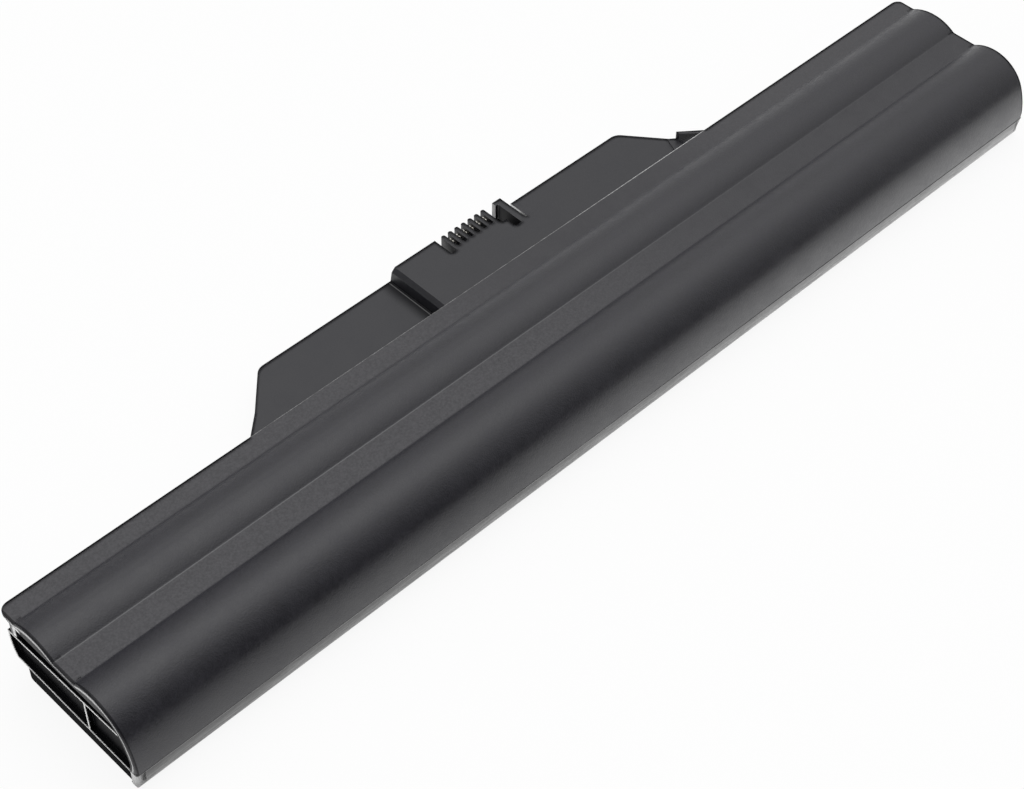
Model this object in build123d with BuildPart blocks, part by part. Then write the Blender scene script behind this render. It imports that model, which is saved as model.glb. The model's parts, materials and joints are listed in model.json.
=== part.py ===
from build123d import *
import math
import os

os.makedirs("parts", exist_ok=True)

# A laptop battery, in millimetres. X runs along the pack, Y runs back towards the tongue, Z is up.
# The origin is at the middle of the footprint, on the flat underside.

# Cells: four in line in each of two rows
cell_radius = 9.1
cell_length = 65.0
cells_in_row = 4
row_gap = 0.1
back_row_y = -2.4
cell_clearance = 0.1
cap_radius = 3.4
cap_height = 0.8
ring_thickness = 0.25
ring_margin = 0.7

# Case walls
wall = 0.8
rim = 1.3
seam_gap = 0.1
skin_overhang = 1.5

# Humps: the strip and the valley lie this far under the front hump, the back hump this far over it
strip_drop = 1.7
valley_drop = 1.8
hump_rise = 0.1
hump_half_width = 6.2
front_swell = 0.9
front_break_angle = 22.0

# Seam between the cover and the housing
front_parting = 5.6
back_parting = 14.1

# Front lip of the housing, which slopes in under the seam
lip_draft = 5.0
bottom_round = 2.2
lip_corner = 2.0
lip_end_depth = 2.0
lip_end_round = 1.5

# Strip flange along the back of the case
flange_reach = 1.5
flange_thickness = 1.2
flange_corner = 1.6
cover_corner = 2.9
recess_reach = 5.9

# Ribs and rail on the ends of the housing, as heights over and under the cells' middle
rib_height = 1.1
rib_thickness = 0.45
rib_top_back = 2.6
rib_top_front = 4.4
rib_bottom_back = 5.0
rib_bottom_front = 6.0
middle_rib_reach = 4.1
rail_height = 0.7
rail_reach = 6.0
rail_round = 1.6
rail_low_round = 0.8

# Tongue on the back edge, with its ends set from the joints between the cells
tongue_back = 31.6
tongue_low_level = 6.3
tongue_high_level = 9.7
tongue_parting = 5.3
tongue_wall = 1.0
tongue_gap = 0.1
left_flare_inset = 0.1
left_flare_y = 17.9
left_foot_inset = 4.8
left_foot_y = 22.2
left_back_inset = 13.5
right_flare_outset = 3.1
right_flare_y = 13.7
right_foot_inset = 1.8
right_foot_y = 17.6
right_back_inset = 10.9
tongue_right_back = 28.6
tongue_corner = 3.2

# Raised connector block and its comb
block_left_x = -13.9
block_draft_run = 0.45
block_chamfer = 1.0
comb_front = 26.9
fin_count = 7
fin_pitch = 2.03
fin_thickness = 1.12
first_fin_x = 1.9
fin_tip_round = 0.5
comb_lead_gap = 1.7
comb_lead_front = 26.1
slot_floor = 1.6

# Pocket and post beside the comb
pocket_front = 25.6
post_left_x = 18.2
post_right_x = 20.0
post_front = 22.6
post_lip = 0.7
post_lip_width = 1.2
post_slot_left_x = 16.3
slit_width = 0.45
slit_front = 23.1

# Corner tab at the right foot of the tongue
tab_level = 12.1
tab_thickness = 0.9
tab_ramp_run = 3.0
crease_step = 0.35
crease_run = 1.6
crease_rise = 1.2
crease_slant = 6.1

# Board and connector
board_left_inset = 19.8
board_right_inset = 15.8
board_front = 9.6
board_back = 21.6
board_thickness = 1.0
board_post_height = 0.8
board_post_radius = 1.3
board_post_inset = 3.0
board_pad_depth = 1.8
first_capacitor = 8.0
capacitor_pitch = 3.2
capacitor_count = 6
connector_front = 22.0
connector_back = 30.5
connector_bottom = 0.9
connector_top = 5.2
contact_cavity_width = 1.3
contact_thickness = 0.2
contact_grip = 0.3
contact_reach = 8.2
contact_height = 3.0
contact_tail = 1.6
prong_top = 9.0
prong_length = 0.5
prong_pitch = 0.8

# Conductors
strip_thickness = 0.2
link_gap = 0.8
link_height = 8.0
tail_knee = 7.2
lead_slot_slack = 0.3
link_side_reach = 6.0
link_fold_length = 8.0
pad_thickness = 0.3
lead_width = 1.6
channel_roof = 1.6
channel_inset = 1.2
lead_slot_half = 1.0
lead_slot_top = 5.0
lead_slot_bottom = 2.2
lead_clearance = 0.3
lead_upper_turn = 40.0
lead_lower_turn = -52.0
lead_exit_turn = -35.0
power_lead_y = 12.0
sense_lead_reach = 3.6

# Places that follow from the sizes above
row_pitch = 2 * cell_radius + row_gap
front_row_y = back_row_y - row_pitch
case_radius = cell_radius + cell_clearance + wall
cell_height = case_radius
back_wall_y = back_row_y + case_radius
front_y = front_row_y - case_radius - front_swell
strip_level = 2 * case_radius - strip_drop
valley_level = 2 * case_radius - valley_drop
back_hump_level = 2 * case_radius + hump_rise
crease_y = back_row_y + hump_half_width
valley_back_y = back_row_y - hump_half_width
flange_back = back_wall_y + flange_reach
joint_pitch = cell_length + link_gap
joint_xs = [(i - (cells_in_row - 2) / 2) * joint_pitch for i in range(cells_in_row - 1)]
board_left_x = joint_xs[0] + board_left_inset
board_right_x = joint_xs[-1] - board_right_inset
board_post_places = [
    (x, y)
    for x in (board_left_x + board_post_inset, board_right_x - board_post_inset)
    for y in (board_front + board_post_inset, board_back - board_post_inset)
]
stack_length = cells_in_row * cell_length + (cells_in_row - 1) * link_gap
bay_half = stack_length / 2 + strip_thickness + pad_thickness
web_half = bay_half + wall
rib_half = web_half + rib_height
cover_half = web_half + skin_overhang
board_bottom = wall + board_post_height
board_top = board_bottom + board_thickness
fin_slot = fin_pitch - fin_thickness
last_fin_right = first_fin_x + (fin_count - 1) * fin_pitch + fin_thickness / 2
comb_left_x = first_fin_x - fin_thickness / 2 - comb_lead_gap
slot_xs = [first_fin_x + (i + 0.5) * fin_pitch for i in range(fin_count - 1)]
far = 2 * cover_half
connector_left_x = comb_left_x - tongue_wall
connector_width = post_left_x - connector_left_x - 2 * tongue_gap
cover_front = back_wall_y + tongue_gap
solid_comb_width = post_right_x + slit_width + tongue_wall - connector_left_x

# Sections of the case across its length, seen along X, with Y to the right and Z up
break_angle = math.radians(180 - front_break_angle)
hump_break = (
    front_row_y + case_radius * math.cos(break_angle),
    cell_height + case_radius * math.sin(break_angle),
)
valley_front_y = front_row_y + math.sqrt(case_radius**2 - (valley_level - cell_height) ** 2)
draft = math.radians(lip_draft)
lip_low_z = bottom_round * (1 - math.sin(draft))
lip_low = (front_y + (front_parting - lip_low_z) * math.tan(draft), lip_low_z)
lip_foot = (lip_low[0] + bottom_round * math.cos(draft), 0)
lip_end_back = front_y + lip_end_depth

with BuildSketch() as case_outline:
    with BuildLine():
        Line((back_wall_y, cell_height), (back_wall_y, strip_level))
        Line((back_wall_y, strip_level), (crease_y, strip_level))
        ThreePointArc((crease_y, strip_level), (back_row_y, back_hump_level), (valley_back_y, valley_level))
        Line((valley_back_y, valley_level), (valley_front_y, valley_level))
        front_hump = ThreePointArc(
            (valley_front_y, valley_level), (front_row_y, cell_height + case_radius), hump_break
        )
        TangentArc(hump_break, (front_y, front_parting), tangent=front_hump % 1)
        Line((front_y, front_parting), lip_low)
        TangentArc(lip_low, lip_foot, tangent=(math.sin(draft), -math.cos(draft)))
        Line(lip_foot, (back_row_y, 0))
        TangentArc((back_row_y, 0), (back_wall_y, cell_height), tangent=(1, 0))
    make_face()

with BuildSketch() as bay_outline:
    add(case_outline.sketch)
    offset(amount=-wall)

# Upper side of the seam between the cover and the housing: it steps down in front of the back row
with BuildSketch() as above_seam:
    with BuildLine():
        Polyline(
            (-far, front_parting),
            (front_row_y, front_parting),
            (front_row_y, back_parting),
            (far, back_parting),
            (far, far),
            (-far, far),
            close=True,
        )
    make_face()

# Opening in each end of the cover, inside the skin's rim and in front of its solid back corner
with BuildSketch() as end_opening:
    add(case_outline.sketch)
    offset(amount=-rim)
    with Locations((back_row_y + recess_reach, back_parting)):
        Rectangle(far, far, align=Align.MIN, mode=Mode.SUBTRACT)

# End wall of the housing: it fills the cover's opening with a small gap and is full size below the seam
with BuildSketch() as end_wall_outline:
    add(case_outline.sketch)
    with Locations((0, -seam_gap)):
        add(above_seam.sketch, mode=Mode.SUBTRACT)
    with BuildSketch(mode=Mode.PRIVATE) as plug:
        add(end_opening.sketch)
        offset(amount=-seam_gap)
    add(plug.sketch)

# Space inside the rib that runs round each end, whose top and bottom slope apart towards the front
with BuildSketch() as rib_space:
    add(end_wall_outline.sketch)
    with BuildLine():
        Polyline(
            (back_wall_y, cell_height + rib_top_back),
            (front_y, cell_height + rib_top_front),
            (front_y, cell_height - rib_bottom_front),
            (back_wall_y, cell_height - rib_bottom_back),
            close=True,
        )
    make_face(mode=Mode.INTERSECT)

# The rib itself, with one upright rib across it
with BuildSketch() as rib_outline:
    add(rib_space.sketch)
    offset(amount=-rib_thickness, mode=Mode.REPLACE)
    with Locations((front_row_y + middle_rib_reach, cell_height)):
        Rectangle(rib_thickness, 2 * cell_height, mode=Mode.SUBTRACT)

# Rail under the rib: its rounded back end stands clear of the wrap round the back row
rail_back = back_row_y + rail_reach
with BuildSketch() as rail_outline:
    add(case_outline.sketch)
    with Locations((front_row_y, 0)):
        Rectangle(rail_back - front_row_y, cell_height, align=Align.MIN)
    with BuildLine():
        Polyline(
            (rail_back, 0),
            (rail_back, cell_height - rib_bottom_back),
            (front_y, cell_height - rib_bottom_front),
            (front_y, 0),
            close=True,
        )
    make_face(mode=Mode.INTERSECT)
    with Locations((lip_end_back, 0)):
        Rectangle(far, far, align=Align.MIN, mode=Mode.INTERSECT)
    rail_end = rail_outline.vertices().group_by(Axis.X)[-1].sort_by(Axis.Y)
    fillet(rail_end[-1], radius=rail_round)
    fillet(rail_outline.vertices().group_by(Axis.X)[-1].sort_by(Axis.Y)[0], radius=rail_low_round)

# Lip under the seam along the front, and its outline seen from the front, with both ends rounded below
with BuildSketch() as lip_outline:
    add(case_outline.sketch)
    with Locations((front_y, 0)):
        Rectangle(lip_end_depth, front_parting - seam_gap, align=Align.MIN, mode=Mode.INTERSECT)

with BuildSketch() as lip_face:
    Rectangle(2 * cover_half, front_parting, align=(Align.CENTER, Align.MIN))
    fillet(lip_face.vertices().group_by(Axis.Y)[0], radius=lip_end_round)

# Plan of the whole tongue, from the case's wrap round the back cells to its back edge
tongue_left_flare = (joint_xs[0] + left_flare_inset, left_flare_y)
tongue_left_foot = (joint_xs[0] + left_foot_inset, left_foot_y)
tongue_left_back_x = joint_xs[0] + left_back_inset
tongue_right_back_x = joint_xs[-1] - right_back_inset
tongue_right_foot = (joint_xs[-1] - right_foot_inset, right_foot_y)
tongue_right_flare = (joint_xs[-1] + right_flare_outset, right_flare_y)
flare_left_x = tongue_left_flare[0] - (tongue_left_flare[1] - back_wall_y)
flare_right_x = tongue_right_flare[0] + (tongue_right_flare[1] - back_wall_y)
crease_back = (tongue_right_foot[0] - crease_run, tongue_right_foot[1] + crease_rise)
crease_front_x = tongue_right_foot[0] - crease_slant

with BuildSketch() as tongue_outline:
    with BuildLine():
        Polyline(
            (flare_left_x, back_row_y),
            (flare_left_x, back_wall_y),
            tongue_left_flare,
            tongue_left_foot,
            (tongue_left_back_x, tongue_back),
            (post_right_x, tongue_back),
            (post_right_x, tongue_right_back),
            (tongue_right_back_x, tongue_right_back),
            tongue_right_foot,
            tongue_right_flare,
            (flare_right_x, back_wall_y),
            (flare_right_x, back_row_y),
            close=True,
        )
    make_face()
    back_corners = tongue_outline.vertices().filter_by(lambda v: v.Y > tongue_right_back - wall)
    fillet([back_corners.sort_by(Axis.X)[0], back_corners.sort_by(Axis.X)[-1]], radius=tongue_corner)

with BuildSketch() as tongue_bay_outline:
    add(tongue_outline.sketch)
    offset(amount=-tongue_wall, kind=Kind.INTERSECTION)

# Upper half of the tongue starts just behind the case's back wall
with BuildSketch() as tongue_cover_outline:
    add(tongue_outline.sketch)
    with Locations((0, cover_front)):
        Rectangle(far, far, align=(Align.CENTER, Align.MIN), mode=Mode.INTERSECT)

# Slots between the fins, the wide gap before them and the pocket beside the post
with BuildSketch() as comb_slots:
    for slot_x in slot_xs:
        with Locations((slot_x, comb_front)):
            Rectangle(fin_slot, far, align=(Align.CENTER, Align.MIN))
    with Locations((comb_left_x, comb_lead_front)):
        Rectangle(comb_lead_gap, far, align=Align.MIN)
    with Locations((last_fin_right, pocket_front)):
        Rectangle(post_left_x - last_fin_right, far, align=Align.MIN)
    with Locations((post_slot_left_x, post_front)):
        Rectangle(post_left_x - post_slot_left_x, far, align=Align.MIN)
    with Locations((post_left_x, tongue_back)):
        Rectangle(post_lip, post_lip_width, align=Align.MAX, mode=Mode.SUBTRACT)

# Top cover: strip, two humps and front wall in one thin skin that overhangs both ends
with BuildPart() as top_cover:
    with BuildSketch(Plane.YZ.offset(-cover_half)):
        add(case_outline.sketch)
        add(above_seam.sketch, mode=Mode.INTERSECT)
    extrude(amount=2 * cover_half)
    fillet(top_cover.edges().filter_by(Axis.Z).group_by(Axis.Y)[-1], radius=cover_corner)
    with BuildSketch(Plane.XY.offset(strip_level)) as flange_plan:
        with Locations((0, crease_y)):
            Rectangle(2 * cover_half, flange_back - crease_y, align=(Align.CENTER, Align.MIN))
        fillet(flange_plan.vertices().group_by(Axis.Y)[-1], radius=flange_corner)
    extrude(amount=-flange_thickness)
    with BuildSketch(Plane.YZ.offset(-bay_half)):
        add(bay_outline.sketch)
    extrude(amount=2 * bay_half, mode=Mode.SUBTRACT)
    for face_x in (-cover_half, bay_half):
        with BuildSketch(Plane.YZ.offset(face_x)):
            add(end_opening.sketch)
        extrude(amount=cover_half - bay_half, mode=Mode.SUBTRACT)
top_cover.part.label = "top_cover"
export_step(top_cover.part, "parts/top_cover.step")

# Lower housing: flat bottom, rounded front edge, wrap behind the back row, ends and half of the tongue
with BuildPart() as lower_housing:
    with BuildSketch(Plane.YZ.offset(-cover_half)):
        add(lip_outline.sketch)
    extrude(amount=2 * cover_half)
    with BuildSketch(Plane.XZ.offset(-lip_end_back)):
        add(lip_face.sketch)
    extrude(amount=lip_end_depth, mode=Mode.INTERSECT)
    with BuildSketch():
        add(tongue_outline.sketch)
    extrude(amount=tongue_parting)
    with BuildSketch(Plane.XY.offset(wall)):
        add(tongue_bay_outline.sketch)
    extrude(amount=tongue_parting, mode=Mode.SUBTRACT)
    with BuildSketch(Plane.YZ.offset(-web_half)):
        add(case_outline.sketch)
        with Locations((0, -seam_gap)):
            add(above_seam.sketch, mode=Mode.SUBTRACT)
    extrude(amount=2 * web_half)
    for low_x in (-web_half, bay_half):
        with BuildSketch(Plane.YZ.offset(low_x)):
            add(end_wall_outline.sketch)
        extrude(amount=wall)
    for low_x in (-rib_half, web_half):
        with BuildSketch(Plane.YZ.offset(low_x)):
            add(rib_space.sketch)
            add(rib_outline.sketch, mode=Mode.SUBTRACT)
        extrude(amount=rib_height)
    for low_x in (-web_half - rail_height, web_half):
        with BuildSketch(Plane.YZ.offset(low_x)):
            add(rail_outline.sketch)
        extrude(amount=rail_height)
    with BuildSketch() as footprint:
        with Locations((0, front_y)):
            Rectangle(2 * cover_half, far, align=(Align.CENTER, Align.MIN))
        fillet(footprint.vertices().group_by(Axis.Y)[0], radius=lip_corner)
    extrude(amount=far, mode=Mode.INTERSECT)
    with BuildSketch(Plane.YZ.offset(-bay_half)):
        add(bay_outline.sketch)
    extrude(amount=2 * bay_half, mode=Mode.SUBTRACT)
    for joint_x in joint_xs:
        with BuildSketch(Plane.YZ.offset(joint_x - lead_slot_half)):
            with Locations((back_row_y, lead_slot_bottom)):
                Rectangle(case_radius, lead_slot_top - lead_slot_bottom, align=Align.MIN)
        extrude(amount=2 * lead_slot_half, mode=Mode.SUBTRACT)
    with BuildSketch(Plane.XY.offset(wall)):
        with Locations((connector_left_x, connector_front)):
            Rectangle(post_left_x - connector_left_x, far, align=Align.MIN)
    extrude(amount=tongue_parting, mode=Mode.SUBTRACT)
    with BuildSketch(Plane.XY.offset(wall)):
        with Locations(*board_post_places):
            Circle(board_post_radius)
    extrude(amount=board_post_height)
lower_housing.part.label = "lower_housing"
export_step(lower_housing.part, "parts/lower_housing.step")

# Ramp behind the tab: its sides lean in up to the tab's level, and the tongue's outline trims its back
tab_reach = tab_thickness + tab_ramp_run
ramp_lean = math.degrees(math.atan2(tab_ramp_run, tab_level - tongue_high_level))
with BuildPart() as tab_ramp:
    with BuildSketch(Plane.XY.offset(tongue_high_level)):
        with BuildLine():
            Polyline(
                (tongue_right_foot[0], tongue_right_foot[1] + 2 * tab_reach),
                (tongue_right_foot[0], tongue_right_foot[1] - tab_reach),
                (flare_right_x, back_wall_y - tab_reach),
                (flare_right_x + tab_reach, back_wall_y - tab_reach),
                (flare_right_x + tab_reach, tongue_right_foot[1] + 2 * tab_reach),
                close=True,
            )
        make_face()
    extrude(amount=tab_level - tongue_high_level, taper=ramp_lean)

# Tongue cover: low left part, raised connector block with its comb, raised right part with its tab
with BuildPart() as tongue_cover:
    with BuildSketch(Plane.XY.offset(tongue_parting)):
        add(tongue_cover_outline.sketch)
    extrude(amount=tongue_low_level - tongue_parting)
    with BuildSketch(Plane.XZ.offset(-tongue_back)):
        with BuildLine():
            Polyline(
                (block_left_x, tongue_parting),
                (block_left_x, tongue_low_level),
                (block_left_x + block_draft_run, tongue_high_level - block_chamfer),
                (block_left_x + block_draft_run + block_chamfer, tongue_high_level),
                (far, tongue_high_level),
                (far, tongue_parting),
                close=True,
            )
        make_face()
    extrude(amount=tongue_back - cover_front)
    add(tab_ramp.part)
    with BuildSketch(Plane.XY.offset(tongue_parting)):
        add(tongue_cover_outline.sketch)
    extrude(amount=far, mode=Mode.INTERSECT)
    with BuildSketch(Plane.XY.offset(tongue_parting)):
        add(tongue_cover_outline.sketch)
        offset(amount=-tongue_wall, kind=Kind.INTERSECTION)
        with Locations((block_left_x + block_draft_run + tongue_wall, 0)):
            Rectangle(far, far, align=(Align.MIN, Align.CENTER), mode=Mode.INTERSECT)
        with Locations((connector_left_x, connector_front)):
            Rectangle(solid_comb_width, far, align=Align.MIN, mode=Mode.SUBTRACT)
    extrude(amount=tongue_high_level - tongue_wall - tongue_parting, mode=Mode.SUBTRACT)
    with BuildSketch(Plane.XY.offset(tongue_parting)):
        with BuildLine():
            Polyline(
                crease_back,
                tongue_right_foot,
                tongue_right_flare,
                (flare_right_x - tongue_gap, cover_front),
                (crease_front_x, cover_front),
                close=True,
            )
        make_face()
    extrude(amount=tongue_high_level + crease_step - tongue_parting)
    with BuildSketch(Plane.XY.offset(tongue_parting)):
        with BuildLine():
            Polyline(
                tongue_right_foot,
                tongue_right_flare,
                (flare_right_x - tongue_gap, cover_front),
                (flare_right_x - tongue_gap - tab_thickness, cover_front),
                (tongue_right_foot[0], tongue_right_foot[1] - tab_thickness),
                close=True,
            )
        make_face()
    extrude(amount=tab_level - tongue_parting)
    with BuildSketch(Plane.XY.offset(tongue_parting)):
        add(comb_slots.sketch)
        with Locations((post_right_x, slit_front)):
            Rectangle(slit_width, far, align=Align.MIN)
    extrude(amount=far, mode=Mode.SUBTRACT)
    fin_tips = tongue_cover.edges().filter_by(Axis.Z).filter_by_position(
        Axis.X, first_fin_x - fin_pitch, last_fin_right + fin_slot
    )
    fillet(fin_tips.filter_by_position(Axis.Y, tongue_back - wall, tongue_back), radius=fin_tip_round)
tongue_cover.part.label = "tongue_cover"
export_step(tongue_cover.part, "parts/tongue_cover.step")

# Connector body under the comb, with the same slots and a cavity behind each for its contact
with BuildPart() as connector_body:
    with BuildSketch(Plane.XY.offset(connector_bottom)):
        with Locations((connector_left_x + tongue_gap, connector_front)):
            Rectangle(connector_width, connector_back - connector_front, align=Align.MIN)
    extrude(amount=connector_top - connector_bottom)
    with BuildSketch(Plane.XY.offset(slot_floor)):
        add(comb_slots.sketch)
        with Locations(*[(slot_x, connector_front) for slot_x in slot_xs]):
            Rectangle(
                contact_cavity_width, comb_front - connector_front, align=(Align.CENTER, Align.MIN)
            )
    extrude(amount=far, mode=Mode.SUBTRACT)
connector_body.part.label = "connector_body"
export_step(connector_body.part, "parts/connector_body.step")

# Six fork contacts: two leaves that grip a blade, a heel that joins them and a tail on the board. Two
# prongs stand up from the far end of each leaf, between the fins of the comb
for number, slot_x in enumerate(slot_xs, start=1):
    heel_half = contact_grip / 2 + contact_thickness
    heel_front = connector_front + contact_thickness
    leaf_back = heel_front + contact_reach
    with BuildPart() as contact:
        with BuildSketch(Plane.XY.offset(slot_floor)):
            with Locations((slot_x, heel_front)):
                Rectangle(2 * heel_half, contact_reach, align=(Align.CENTER, Align.MIN))
            with Locations((slot_x, heel_front + contact_thickness)):
                Rectangle(contact_grip, contact_reach, align=(Align.CENTER, Align.MIN), mode=Mode.SUBTRACT)
        extrude(amount=contact_height)
        with BuildSketch(Plane.XY.offset(slot_floor)):
            for prong_back in (leaf_back, leaf_back - prong_pitch):
                with Locations((slot_x, prong_back)):
                    Rectangle(2 * heel_half, prong_length, align=(Align.CENTER, Align.MAX))
                    Rectangle(
                        contact_grip, prong_length, align=(Align.CENTER, Align.MAX), mode=Mode.SUBTRACT
                    )
        extrude(amount=prong_top - slot_floor)
        with BuildSketch(Plane.XY.offset(board_top)):
            with Locations((slot_x, board_back - contact_tail)):
                Rectangle(
                    2 * contact_thickness,
                    heel_front - board_back + contact_tail + contact_thickness,
                    align=(Align.CENTER, Align.MIN),
                )
        extrude(amount=contact_thickness)
    contact.part.label = f"contact_{number}"
    export_step(contact.part, f"parts/contact_{number}.step")

# Circuit board on four posts, with its parts on top
with BuildPart() as circuit_board:
    with BuildSketch(Plane.XY.offset(board_bottom)):
        with Locations((board_left_x, board_front)):
            Rectangle(board_right_x - board_left_x, board_back - board_front, align=Align.MIN)
    extrude(amount=board_thickness)
circuit_board.part.label = "circuit_board"
export_step(circuit_board.part, "parts/circuit_board.step")

# Each entry is a component's middle along the board, from its left end or, if negative, from its right
# end, then the middle's place behind the board's front edge, and the length, depth and height
board_parts = {
    "gauge_chip": [(15.0, 6.4, 7.8, 4.4, 1.1)],
    "protection_chip": [(27.0, 6.4, 5.0, 4.0, 1.0)],
    "current_shunt": [(37.0, 7.4, 6.4, 3.2, 0.6)],
    "thermistor": [(-34.0, 2.4, 3.6, 2.0, 1.6)],
    "charge_switch": [(-26.0, 6.8, 5.0, 6.0, 1.2)],
    "discharge_switch": [(-19.0, 6.8, 5.0, 6.0, 1.2)],
    "chemical_fuse": [(-11.0, 7.4, 5.4, 3.2, 1.0)],
    "board_capacitors": [
        (first_capacitor + i * capacitor_pitch, 10.2, 1.6, 0.9, 0.9) for i in range(capacitor_count)
    ],
}
for name, blocks in board_parts.items():
    with BuildPart() as component:
        for place, depth_place, size_x, size_y, height in blocks:
            end_x = board_left_x if place > 0 else board_right_x
            with BuildSketch(Plane.XY.offset(board_top)):
                with Locations((end_x + place, board_front + depth_place)):
                    Rectangle(size_x, size_y)
            extrude(amount=height)
    component.part.label = name
    export_step(component.part, f"parts/{name}.step")

# Cells: a can with a raised cap, all turned the same way
shoulder = cell_length - cap_height
for row, row_y in enumerate((back_row_y, front_row_y)):
    for place in range(cells_in_row):
        low_x = -stack_length / 2 + place * joint_pitch
        with BuildPart() as cell:
            with BuildSketch(Plane(origin=(low_x, row_y, cell_height))):
                with BuildLine():
                    Polyline(
                        (0, 0),
                        (0, cell_radius),
                        (shoulder, cell_radius),
                        (shoulder, cap_radius),
                        (cell_length, cap_radius),
                        (cell_length, 0),
                        close=True,
                    )
                make_face()
            revolve(axis=Axis((low_x, row_y, cell_height), (1, 0, 0)))
        number = row * cells_in_row + place + 1
        cell.part.label = f"cell_{number}"
        export_step(cell.part, f"parts/cell_{number}.step")

# Insulating rings round the caps
with BuildPart() as insulator_rings:
    for place in range(cells_in_row):
        shoulder_x = -stack_length / 2 + place * joint_pitch + shoulder
        with BuildSketch(Plane.YZ.offset(shoulder_x)):
            with Locations((back_row_y, cell_height), (front_row_y, cell_height)):
                Circle(cell_radius - ring_margin)
                Circle(cap_radius + cell_clearance, mode=Mode.SUBTRACT)
        extrude(amount=ring_thickness)
insulator_rings.part.label = "insulator_rings"
export_step(insulator_rings.part, "parts/insulator_rings.step")

# Nickel strip across the two cell ends of a pair
rows_middle_y = (back_row_y + front_row_y) / 2
with BuildSketch() as strip_outline:
    with Locations((rows_middle_y, cell_height)):
        Rectangle(row_pitch + 2 * link_side_reach, link_height)

# Tail of a strip: it leaves the bay low down through a slot in the wrap and stands on the board side
tail_foot_z = board_top + strip_thickness
with BuildSketch() as tail_outline:
    with BuildLine():
        Polyline(
            (back_row_y + cap_radius, cell_height - link_height / 2),
            (back_row_y + link_side_reach, cell_height - link_height / 4),
            (back_row_y + tail_knee, lead_slot_top - seam_gap),
            (back_wall_y + wall, lead_slot_top - seam_gap),
            (back_wall_y + wall, tail_foot_z),
            (back_row_y + link_side_reach, tail_foot_z),
            close=True,
        )
    make_face()

for number, joint_x in enumerate(joint_xs, start=1):
    with BuildPart() as link_strip:
        for leaf_x in (joint_x - link_gap / 2, joint_x + link_gap / 2 - strip_thickness):
            with BuildSketch(Plane.YZ.offset(leaf_x)):
                add(strip_outline.sketch)
            extrude(amount=strip_thickness)
        with BuildSketch(Plane.XY.offset(cell_height + link_height / 2)):
            with Locations((joint_x, rows_middle_y)):
                Rectangle(link_gap, link_fold_length)
        extrude(amount=-strip_thickness)
        with BuildSketch(Plane.YZ.offset(joint_x - link_gap / 2)):
            add(tail_outline.sketch)
        extrude(amount=strip_thickness)
    link_strip.part.label = f"link_strip_{number}"
    export_step(link_strip.part, f"parts/link_strip_{number}.step")

# End strips: their tails rise into the channel in the cover's upper back corner, where the leads run
channel_top = strip_level - channel_roof
channel_back = back_wall_y - channel_inset
channel_front = channel_back - lead_width

with BuildSketch() as end_strip_outline:
    add(strip_outline.sketch)
    with BuildLine():
        Polyline(
            (back_row_y + cap_radius, cell_height + link_height / 2),
            (channel_front, channel_top),
            (channel_back, channel_top),
            (back_row_y + link_side_reach, cell_height + link_height / 4),
            close=True,
        )
    make_face()

end_strips = (
    ("negative_strip", -stack_length / 2 - strip_thickness),
    ("positive_strip", stack_length / 2),
)
for name, low_x in end_strips:
    with BuildPart() as end_strip:
        with BuildSketch(Plane.YZ.offset(low_x)):
            add(end_strip_outline.sketch)
        extrude(amount=strip_thickness)
    end_strip.part.label = name
    export_step(end_strip.part, f"parts/{name}.step")

# Drop of a power lead: it turns down between two cell ends and comes out through the same slot
upper_turn = math.radians(lead_upper_turn)
lower_turn = math.radians(lead_lower_turn)
exit_turn = math.radians(lead_exit_turn)
lead_bend_radius = case_radius - wall - lead_clearance
inner_radius = lead_bend_radius - lead_width
drop_low_z = tail_foot_z + strip_thickness
drop_high_z = lead_slot_top - lead_slot_slack
drop_back = power_lead_y + lead_width


def round_back_cell(radius, turn):
    """Point of the section at a radius and angle about the back row's axis."""
    return (back_row_y + radius * math.cos(turn), cell_height + radius * math.sin(turn))


with BuildSketch() as drop_outline:
    with BuildLine():
        Line((channel_back, channel_top), (channel_front, channel_top))
        Line((channel_front, channel_top), round_back_cell(inner_radius, upper_turn))
        ThreePointArc(
            round_back_cell(inner_radius, upper_turn),
            round_back_cell(inner_radius, 0),
            round_back_cell(inner_radius, lower_turn),
        )
        Line(round_back_cell(inner_radius, lower_turn), (back_wall_y - lead_width, drop_low_z))
        Line((back_wall_y - lead_width, drop_low_z), (power_lead_y, drop_low_z))
        Line((power_lead_y, drop_low_z), (power_lead_y, tail_foot_z))
        Line((power_lead_y, tail_foot_z), (drop_back, tail_foot_z))
        Line((drop_back, tail_foot_z), (drop_back, drop_high_z))
        Line((drop_back, drop_high_z), round_back_cell(lead_bend_radius, exit_turn))
        ThreePointArc(
            round_back_cell(lead_bend_radius, exit_turn),
            round_back_cell(lead_bend_radius, 0),
            round_back_cell(lead_bend_radius, upper_turn),
        )
        Line(round_back_cell(lead_bend_radius, upper_turn), (channel_back, channel_top - lead_width))
        Line((channel_back, channel_top - lead_width), (channel_back, channel_top))
    make_face()

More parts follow.
